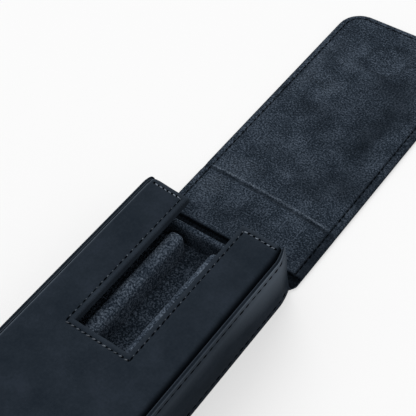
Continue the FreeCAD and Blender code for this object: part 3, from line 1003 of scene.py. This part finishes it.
# %% Tone of the suede
# Each patch: its middle, its reach across and along in millimetres, and how much paler it is. The dark
# patches at (-10, 22) and (44, 20), on the bridge by the mouth, are painted shadow of the case.
SMUDGES_AND_SHADOW = [(-38, 145, 8, 30, 0.07), (-18, 140, 9, 7, 0.1), (-20, 117, 10, 8, -0.25),
           (-12, 163, 14, 9, 0.06), (14, 158, 16, 9, -0.3), (26, 136, 9, 22, -0.3),
           (27, 108, 8, 14, -0.25), (3, 118, 6, 9, 0.07), (-8, 90, 12, 9, 0.06),
           (-18, 74, 14, 9, -0.15), (-26, 54, 14, 8, 0.06), (14, 64, 12, 10, -0.2),
           (36, 131, 4, 22, 0.08), (30, 54, 10, 7, 0.06), (-34, 31, 12, 9, 0.12),
           (-10, 22, 24, 12, -0.2), (20, 34, 14, 7, 0.02), (44, 20, 6, 20, -0.4),
           (8, 112, 26, 34, -0.17), (34, 74, 12, 14, -0.35)]


def smudges_and_shadow(x, y):
    """Soft patches where a hand has brushed the nap up or down, and painted shadow of the case by the mouth.
    """
    for size, reach in ((13, 9), (5, 4)):
        at = Vector((x, y, 0)) / size
        x, y = x + reach * noise_at(at), y + reach * noise_at(at + Vector((0, 0, 9)))
    return sum(amount * math.exp(-((x - at_x) / across) ** 2 - ((y - at_y) / along) ** 2)
               for at_x, at_y, across, along, amount in SMUDGES_AND_SHADOW)


def suede_wear_and_painted_light(x, y, _):
    """Light along the crease, worn and painted highlight, and painted shade before it, at the mouth's fold,
    at the stitches, on the right edge and round the magnet's mark.
    """
    past = y - crease_line(x)
    inside = FLAP_HALF - abs(x)
    # The crease is pale, as rubbed nap and as a painted highlight on its ridge; this noise makes it uneven.
    crease_unevenness = 0.95 + 0.9 * noise_at(Vector((x, y, 0)) / 3)
    crease_pale_and_highlight = 0.3 * dent(past, 1, 0.7) * smooth(inside, 3, 5.5) * crease_unevenness
    # Painted shade on the slope before the crease.
    dark = 0.45 * dent(past + 1.9, 1, 1.2)
    # Painted shade in the gutter at the mouth, deeper on the right.
    gutter_shade = smooth(y, -2, 0) * (1 - smooth(y, 6.7, 9.5))
    gutter_shade *= 0.8 if x > 0 else 0.3 + 0.7 * smooth(inside, 3, 8)
    near = min(inside, FLAP_END - y)
    # Painted shade along the row of stitches.
    row = 0.45 * dent(near - STITCH_MARGIN, 1, 0.6) if y > 7 else 0
    # Painted shade on the right border, outside the stitches.
    border_shade = 0.15 if x > 0 and inside < 10 else -0.06
    border_shade *= 1 - smooth(near, STITCH_MARGIN - 1, STITCH_MARGIN + 0.5)
    ring = math.hypot(x - LID_MAGNET[0], y - LID_MAGNET[1]) - LID_MAGNET[2]
    # Painted shade in a ring round the magnet's mark.
    magnet_ring_shade = 0.01 * (1 - smooth(ring, -1.5, 0)) - 0.3 * dent(ring - 0.8, 1, 1)
    return crease_pale_and_highlight + magnet_ring_shade + smudges_and_shadow(x, y) * smooth(ring, -2, 1) - max(dark, gutter_shade, row, border_shade)


# Two of these patches are painted shadow of the case, and the rest are brushed nap.
print(len(SMUDGES_AND_SHADOW), "patches of brushed suede")

# %% Model the flap's suede
def lower_suede_place(x, y, z):
    """The lining of the back, and the near half of the bridge."""
    half = LINING_HALF + (flap_half(y, SUEDE_INSET) - LINING_HALF) * smooth(y, -0.4, 0.5)
    return suede_place(x, y, z, half, LINING_END, LINING_RADIUS, 0, 0)


def upper_suede_place(x, y, z):
    """The far half of the bridge, and the lid."""
    return suede_place(x, y, z, FLAP_HALF - SUEDE_INSET, 0, 0, FLAP_END - SUEDE_INSET,
                       FLAP_RADIUS - SUEDE_INSET)


def flap_suede(name, low, high, place, y_places):
    """A thin solid of suede with a fine lattice, so that its patches have soft edges."""
    sheet = start_box(name, (-FLAP_HALF, low, 0), (FLAP_HALF, high, 1))
    cut_sheet(y_places, low, high, 2.4)
    reshape(sheet, place, suede_wear_and_painted_light)
    finish(sheet, suede, "suede", 60)
    return sheet


lower_suede = flap_suede("back_and_bridge_suede", LINING_END, MIDDLE_Y, lower_suede_place, fold_places)
upper_suede = flap_suede("lid_and_bridge_suede", MIDDLE_Y, FLAP_END - SUEDE_INSET, upper_suede_place,
                         crease_places + [place - SUEDE_INSET for place in far_places])
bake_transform(lower_suede)
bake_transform(upper_suede)
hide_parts("back_lining", "bridge_lining")
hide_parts("bridge_lining", "lid_lining")


# %% [markdown]
# ## Boards of the flap
# A maker pares a board's edge with a knife, so that the covering slopes down to the stitches. The frame's
# boards have square edges, so a copy of each is cut through near its edge and lowered there.

# %% Boards of the flap
PARING_DEPTH, PARING_WIDTH = 0.8, 3.5
PARING_CUTS = (2.5, 4.6, 6, 8, 10, 12)


def pared(x, y, z):
    """The boards are pared down towards their edge, so the suede can slope down outside its stitches."""
    near = min(FLAP_HALF - abs(x), FLAP_END - y)
    across, along = abs(x) - (FLAP_HALF - FLAP_RADIUS), y - (FLAP_END - FLAP_RADIUS)
    if across > 0 and along > 0:
        near = FLAP_RADIUS - math.hypot(across, along)
    paring = PARING_DEPTH * max(1 - (near - LEATHER) / PARING_WIDTH, 0)
    return x, y, z - paring if z > 1.7 else z


for name, body in (("bridge_board", "bridge"), ("lid_board", "lid")):
    copy = copy_node(name, "_pared")
    cut([side * (FLAP_HALF - step) for side in (-1, 1) for step in PARING_CUTS], 0)
    if body == "lid":
        cut([FLAP_END - step for step in PARING_CUTS], 1)
    reshape(copy, pared)
    finish(copy, board, "board")
    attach(copy, body)
    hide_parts(name)


# %% [markdown]
# ## Tray walls
# The tray is a board box wrapped in suede. The suede rounds every edge, so a box is rounded at its
# corners, hollowed from above, and rounded again along its lip. Drawing the lip as a spun profile would
# work too, but a bevel keeps its width even all round.

# %% Tray walls
TRAY_LOW, TRAY_HIGH = Vector((-42, -176, 3.8)), Vector((42, -10, 27.3))
TRAY_MIDDLE = (TRAY_LOW + TRAY_HIGH) / 2
TRAY_WALL, TRAY_HOLLOW = 4.0, 14.5
TRAY_CORNER, TRAY_LIP = 8, 1.9
# A test of place allows this much, because places are rounded.
NEARLY = 0.1

tray = start_box("tray_suede", TRAY_LOW, TRAY_HIGH)
choose("EDGE", lambda edge, middle: abs(middle.x) > TRAY_HIGH.x - NEARLY
       and abs(middle.y - TRAY_MIDDLE.y) > TRAY_HIGH.y - TRAY_MIDDLE.y - NEARLY)
bpy.ops.mesh.bevel(offset=TRAY_CORNER * MM, segments=8, affect="EDGES")
choose("FACE", lambda face, middle: middle.z > TRAY_HIGH.z - NEARLY)
bpy.ops.mesh.inset(thickness=TRAY_WALL * MM)
bpy.ops.mesh.extrude_region_move(TRANSFORM_OT_translate={"value": (0, 0, -TRAY_HOLLOW * MM)})
choose("EDGE", lambda edge, middle: middle.z > TRAY_HIGH.z - NEARLY and len(edge.link_faces) == 2
       and min(face.normal.z for face in edge.link_faces) < 0.5)
bpy.ops.mesh.bevel(offset=TRAY_LIP * MM, segments=5, affect="EDGES")
cut(range(-170, -14, 6), 1)
cut(range(-36, 37, 6), 0)
cut([8, 12, 16, 20, 24], 2)
finish(tray, suede, "suede", 50)
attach(tray, "tray")
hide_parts("tray_cover", "tray_wall_lining")

# %% [markdown]
# ## Bed
# The bed is foam under suede, with a shallow trough for each channel that runs out at both ends. Its
# cross-section is a soft wave. A fine lattice is moved to that wave, because there is nothing in it that
# a plain bevel could make.

# %% Bed
CHANNEL_PITCH = 26.8
BED_HALF = 37.6
BED_LOW, BED_HIGH = -171.6, -14.4
BED_TOP = 13.0
BED_THICK = 0.7
TROUGH_DEPTH, TROUGH_HALF, TROUGH_END = 3.0, 11.0, 7.6

bed = start_box("tray_bed", (-BED_HALF, BED_LOW, 0), (BED_HALF, BED_HIGH, 1))
cut(fill([-BED_HALF, BED_HALF], 1.4)[1:-1], 0)
cut(fill([BED_LOW, BED_HIGH], 5)[1:-1], 1)


def bed_place(x, y, z):
    """A trough in each channel, which runs out at both ends."""
    across = abs(x) - CHANNEL_PITCH * round(abs(x) / CHANNEL_PITCH)
    trough = TROUGH_DEPTH * math.cos(min(abs(across) / TROUGH_HALF, 1) * math.pi / 2) ** 1.2
    trough *= smooth(y, BED_LOW, BED_LOW + TROUGH_END)
    trough *= 1 - smooth(y, BED_HIGH - TROUGH_END, BED_HIGH)
    top = BED_TOP - trough
    return x, y, top if z > 0.5 else top - BED_THICK


reshape(bed, bed_place)
finish(bed, suede, "suede", 60)
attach(bed, "tray")
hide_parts("bed_lining")

# %% [markdown]
# ## Dividers
# Each divider is a thin board, padded and wrapped in suede, so it has a round top and round ends, and its
# nap stands up. A cloth simulation would swell it like a cushion, but it is drawn tight, so a box is
# rounded, cut finely, and each point is moved a little along its normal as the tufts are.

# %% Dividers
DIVIDER_HALF = 4.7
DIVIDER_FOOT, DIVIDER_TOP = 12.4, 28.4
DIVIDER_LOW, DIVIDER_HIGH = -172.4, -18.4
DIVIDER_LEFT = -1.0
DIVIDER_ROUND, DIVIDER_END_ROUND = 4.2, 2.4
TUFT, TUFT_HEIGHT = 1.1, 0.28


def add_fuzz(piece, size, height):
    """Raises and lowers each point a little along its normal, as the nap stands up on stuffed suede."""
    for vertex in piece.data.vertices:
        at = vertex.co / MM / size
        vertex.co += vertex.normal * (noise_at(at) + 0.5 * noise_at(at * 2.3)) * height * MM
    piece.data.update()


for side, name in ((-1, "left"), (1, "right")):
    centre = side * CHANNEL_PITCH / 2 + DIVIDER_LEFT
    low = (centre - DIVIDER_HALF, DIVIDER_LOW, DIVIDER_FOOT)
    high = (centre + DIVIDER_HALF, DIVIDER_HIGH, DIVIDER_TOP)
    divider = start_box(name + "_divider", low, high)
    choose("EDGE", lambda edge, middle: middle.z > DIVIDER_TOP - NEARLY
           and abs(middle.x - centre) > DIVIDER_HALF - 2 * NEARLY)
    bpy.ops.mesh.bevel(offset=DIVIDER_ROUND * MM, segments=9, affect="EDGES")
    choose("EDGE", lambda edge, middle: middle.y > DIVIDER_HIGH - NEARLY)
    bpy.ops.mesh.bevel(offset=DIVIDER_END_ROUND * MM, segments=4, affect="EDGES")
    cut([14 + step for step in range(11)], 2)
    cut([centre - 0.3, centre + 0.3], 0)
    choose("EDGE", lambda edge, middle: edge.calc_length() > 100 * MM)
    bpy.ops.mesh.subdivide(number_cuts=150)
    finish(divider, lightened_suede, "suede", 60)
    add_fuzz(divider, TUFT, TUFT_HEIGHT)
    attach(divider, "tray")
    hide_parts(name + "_divider_cover")


# %% [markdown]
# ## Stitches
# Every seam is sewn by hand with a waxed thread. Each stitch rises from one hole, lies on the leather at a
# slight slant and sinks into the next hole. One stitch, with a near-black bead of painted shade for its
# hole, is modelled once and copied along every row, because a bump pattern would not catch the light as
# the real thread does.

# %% One stitch
SEAM_FINISHES = (thread, rubbed, hole_shade)


def add_bead(long, wide, high, along, up, material):
    """A smooth bead for a stretch of thread, or a near-black bead of painted shade for a stitch's pit, in
    millimetres.
    """
    deselect()
    bpy.ops.mesh.primitive_uv_sphere_add(segments=8, ring_count=6, radius=1)
    bead = bpy.context.object
    reshape(bead, lambda x, y, z: (x * MM * long + along, y * MM * wide, z * MM * high + up))
    for each in SEAM_FINISHES:
        bead.data.materials.append(each)
    for face in bead.data.polygons:
        face.material_index = SEAM_FINISHES.index(material)
    return bead


def model_stitch(look, pitch):
    """A stitch along X at the origin. A proud one lies on the leather, and a sunk one lies in a narrow cut;
    the dark beads are painted shade.
    """
    if look in ("rubbed", "proud"):
        tone, dark = (rubbed, 0.25) if look == "rubbed" else (thread, 0.46)
        beads = [add_bead(0.36 * pitch, 0.42, 0.4, -0.1 * pitch, 0.14, tone),
                 add_bead(dark * pitch, 0.62, 0.14, (0.62 - dark) * pitch, 0.16, hole_shade)]
    elif look == "slit":
        beads = [add_bead(0.43 * pitch, 0.38, 0.16, 0, 0.16, hole_shade)]
    elif look == "dash":
        beads = [add_bead(0.33 * pitch, 0.55, 0.25, 0, 0.14, hole_shade)]
    else:
        beads = [add_bead(0.32 * pitch, 0.44, 0.16, -0.06 * pitch, 0.16, hole_shade),
                 add_bead(0.5, 0.3, 0.26, 0.38 * pitch, 0.12, thread)]
    deselect()
    for bead in beads:
        bead.select_set(True)
    bpy.context.view_layer.objects.active = beads[0]
    bpy.ops.object.join()
    return beads[0]


print("a stitch has a stretch of thread and the dark of its hole")

# %% [markdown]
# ## Sewing a seam
# A row is given by the look of its stitches, their pitch, their slant, where the row starts and ends, and
# two functions: one for the place at a run along the row, and one for the way that the leather faces
# there. No two stitches of a hand are the same, so each gets a little of its own slant, length and place,
# from a seeded random row that is the same each time.

# %% Sewing a seam
def sew(name, rows):
    """Copies stitches along rows of (look, pitch, slant, start, end, place, out) into one piece."""
    seam = bmesh.new()
    hand = random.Random(5)
    count = 0
    for look, pitch, slant, start, end, place, out in rows:
        number = max(round(abs(end - start) / pitch), 1)
        step = (end - start) / number
        model = model_stitch(look, abs(step))
        for index in range(number):
            run = start + (index + 0.5 + hand.uniform(-0.04, 0.04)) * step
            before, here, after = (Vector(place(run + part * step)) for part in (-0.3, 0, 0.3))
            up = Vector(out(run)).normalized()
            along = (after - before).normalized()
            turn = math.radians(slant + hand.uniform(-5, 5))
            lean = along * math.cos(turn) + up.cross(along) * math.sin(turn)
            size = [hand.uniform(low, high) for low, high in ((0.8, 1.15), (0.7, 1.3), (0.7, 1.3))]
            stand = Matrix((lean, up.cross(lean), up)).transposed().to_4x4() @ Matrix.Diagonal((*size, 1))
            first = len(seam.verts)
            seam.from_mesh(model.data)
            seam.verts.ensure_lookup_table()
            spot = Matrix.Translation(here * MM) @ stand
            bmesh.ops.transform(seam, matrix=spot, verts=seam.verts[first:])
            count += 1
        bpy.data.objects.remove(model)
    mesh = bpy.data.meshes.new(name)
    seam.to_mesh(mesh)
    seam.free()
    for each in SEAM_FINISHES:
        mesh.materials.append(each)
    piece = bpy.data.objects.new(name, mesh)
    bpy.context.scene.collection.objects.link(piece)
    for face in mesh.polygons:
        face.use_smooth = True
    print(name, count, "stitches")
    return piece


UP, DOWN = (0, 0, 1), (0, 0, -1)

# %% [markdown]
# ## Seams of the front and the rims
# Beside the window the thread has sunk into the leather, so only its holes, as beads of painted shade, and
# a little of it show. Along the mouth and at the window's end it lies proud and catches the light, and along
# the mouth it is also the paler thread, partly painted highlight. The rim's stitches are seen from the side,
# and are drawn only as dark dashes of painted shade.

# %% Seams of the front
window_row = WINDOW_HALF + SIDE_MARGIN
window_end_row = WINDOW_END - END_MARGIN
mouth_row = FRONT_Y - MOUTH_MARGIN
MOUTH_ROW_END = 40.4
front_rows = []
for side in (-1, 1):
    front_rows.append(("sunk", 4.1, 5, window_end_row, mouth_row,
                       lambda run, side=side: front_place(side * window_row, run, 0), lambda run: UP))
    # The mouth rows use the paler thread: partly worn, partly painted highlight.
    front_rows.append(("rubbed", 3.5, 10 * side, side * window_row, side * MOUTH_ROW_END,
                       lambda run: front_place(run, mouth_row, 0), lambda run: UP))
front_rows.append(("proud", 3.45, 18, -window_row, window_row,
                   lambda run: front_place(run, window_end_row, 0), lambda run: UP))
front_seams = sew("front_stitching", front_rows)
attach(front_seams, "case")

# %% Seams of the rims
RIM_PITCH = 5.0


def wall_out(run):
    """The direction that the side wall faces."""
    near, far = (Vector((*walk(run, out), 0)) for out in (10, 12))
    return far - near


# Each rim stitch is only a dark bead of painted shade, with no thread.
rim_rows = [("dash", RIM_PITCH, 0, start, 2 * HALFWAY - start,
             lambda run, row=row: wall_place(END_RADIUS, run, row), wall_out)
            for start, row in ((6.4, RIM_ROW), (4.4, BASE_ROW))]
rim_seams = sew("rim_stitching", rim_rows)
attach(rim_seams, "case")


# %% [markdown]
# ## Seams of the flap
# The flap's row runs round its edge at one distance. On the suede the thread has sunk between the fibres
# and shows as a slit, a dark bead of painted shade, and under the flap it lies in the leather's groove.
# Each side is a row of its own, and the seam is in two pieces that meet in the middle of the bridge.

# %% Seams of the flap
FLAP_PITCH, FLAP_SLANT = 4.2, 4
UNDERSIDE = 0.4
ROW_HALF = FLAP_HALF - STITCH_MARGIN
ROW_RADIUS = FLAP_RADIUS - STITCH_MARGIN
ROW_SIDE = FLAP_END - FLAP_RADIUS - MIDDLE_Y
ROW_CORNER = ROW_SIDE + ROW_RADIUS * math.pi / 2
ROW_MIDDLE = ROW_CORNER + FLAP_HALF - FLAP_RADIUS


def flap_row(run):
    """The place after a run along the flap's row, from the middle of the bridge's right side."""
    side = 1 if run <= ROW_MIDDLE else -1
    run = min(run, 2 * ROW_MIDDLE - run)
    if run <= ROW_SIDE:
        return side * ROW_HALF, MIDDLE_Y + run
    if run <= ROW_CORNER:
        turn = (run - ROW_SIDE) / ROW_RADIUS
        x = FLAP_HALF - FLAP_RADIUS + ROW_RADIUS * math.cos(turn)
        return side * x, MIDDLE_Y + ROW_SIDE + ROW_RADIUS * math.sin(turn)
    return side * (ROW_MIDDLE - run), FLAP_END - STITCH_MARGIN


def on_suede(run):
    """A place along the row on the lid's suede."""
    x, y = flap_row(run)
    return x, y, suede_top(x, y, STITCH_MARGIN - 0.3)


def under_leather(run):
    """A place along the row under the lid."""
    return *flap_row(run), UNDERSIDE


def on_bridge(side, run):
    """A place along the bridge's row, on its suede."""
    return side * ROW_HALF, run, suede_top(0, run, STITCH_MARGIN - 0.3)


# On the suede a stitch is only a dark bead of painted shade, here and on the bridge.
upper_rows = [("slit", FLAP_PITCH, FLAP_SLANT, 0, 2 * ROW_MIDDLE, on_suede, lambda run: UP),
              ("sunk", FLAP_PITCH, FLAP_SLANT, 0, 2 * ROW_MIDDLE, under_leather, lambda run: DOWN)]
lower_rows = []
for side in (-1, 1):
    lower_rows.append(("slit", FLAP_PITCH, FLAP_SLANT, 7.5, MIDDLE_Y,
                       lambda run, side=side: on_bridge(side, run), lambda run: UP))
    lower_rows.append(("sunk", FLAP_PITCH, FLAP_SLANT, 6.5, MIDDLE_Y,
                       lambda run, side=side: (side * ROW_HALF, run, UNDERSIDE), lambda run: DOWN))
upper_seams = sew("lid_stitching", upper_rows)
lower_seams = sew("bridge_stitching", lower_rows)
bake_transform(lower_seams)
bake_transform(upper_seams)


# %% [markdown]
# ## Floor
# The case lies on white paper, which is matt and has no gloss. The paper is as bright as the picture's
# background where the camera or a reflection sees it, and a middle grey for the light that it throws
# back, so that the case isn't lit from below. A brighter lamp would whiten the floor too, but it would
# bleach the case.

# %% Floor
FLOOR_HALF = 4000
WHITE = linear("#FBFBFB")
GREY = linear("#ACACAC")

bpy.context.scene.view_settings.view_transform = "Standard"
floor = start_box("floor", (-FLOOR_HALF, -FLOOR_HALF, 0), (FLOOR_HALF, FLOOR_HALF, 0), flat=True)
deselect()
paper, shader = new_material("white_paper", Roughness=1.0, Specular_IOR_Level=0.0)
glow = add(paper, "ShaderNodeEmission", None, {"Color": WHITE, "Strength": 1.0})
rays = add(paper, "ShaderNodeLightPath").outputs
seen = rays["Is Camera Ray"]
for kind in ("Is Glossy Ray", "Is Transmission Ray"):
    seen = add(paper, "ShaderNodeMath", {"operation": "MAXIMUM"}, {0: seen, 1: rays[kind]}).outputs[0]
tone = add(paper, "ShaderNodeMix", {"data_type": "RGBA"}, {0: seen, 6: GREY, 7: WHITE})
link(paper, tone.outputs[2], shader, "Base Color")
share = add(paper, "ShaderNodeMath", {"operation": "MULTIPLY"}, {0: seen, 1: 0.5})
mixed = add(paper, "ShaderNodeMixShader", None,
            {0: share.outputs[0], 1: shader.outputs[0], 2: glow.outputs[0]})
link(paper, mixed.outputs[0], paper.node_tree.nodes["Material Output"], "Surface")
floor.data.materials.append(paper)
print("the floor is", 2 * FLOOR_HALF * MM, "m wide")

# %% [markdown]
# ## Light
# A large window behind the case and to its left gives the soft shadow, and a pale room fills it in. The
# window is a far lamp with a wide angle: the wider it is, the softer its shadow. An area lamp close by
# would do in the picture, but it would light the lid more than the case.

# %% Light
world = bpy.data.worlds.new("studio")
world.use_nodes = True
bpy.context.scene.world = world
sky = world.node_tree.nodes["Background"]
sky.inputs["Color"].default_value = (1, 1, 1, 1)
sky.inputs["Strength"].default_value = 0.7


def add_softbox(name, towards, strength, angle):
    """A large far lamp, given by the direction that it stands in."""
    data = bpy.data.lights.new(name, "SUN")
    data.energy = strength
    data.angle = math.radians(angle)
    lamp = bpy.data.objects.new(name, data)
    bpy.context.scene.collection.objects.link(lamp)
    lamp.rotation_euler = Vector(towards).to_track_quat("Z", "Y").to_euler()
    print(name, "lamp", angle, "degrees wide")


add_softbox("key", (-0.5, 0.68, 0.53), 1.3, 40)
add_softbox("fill", (0.3, -0.3, 0.9), 0.3, 60)

# %% [markdown]
# ## The end
# The last line prints how many materials there are.

# %% The end
print(len(bpy.data.materials), "materials")
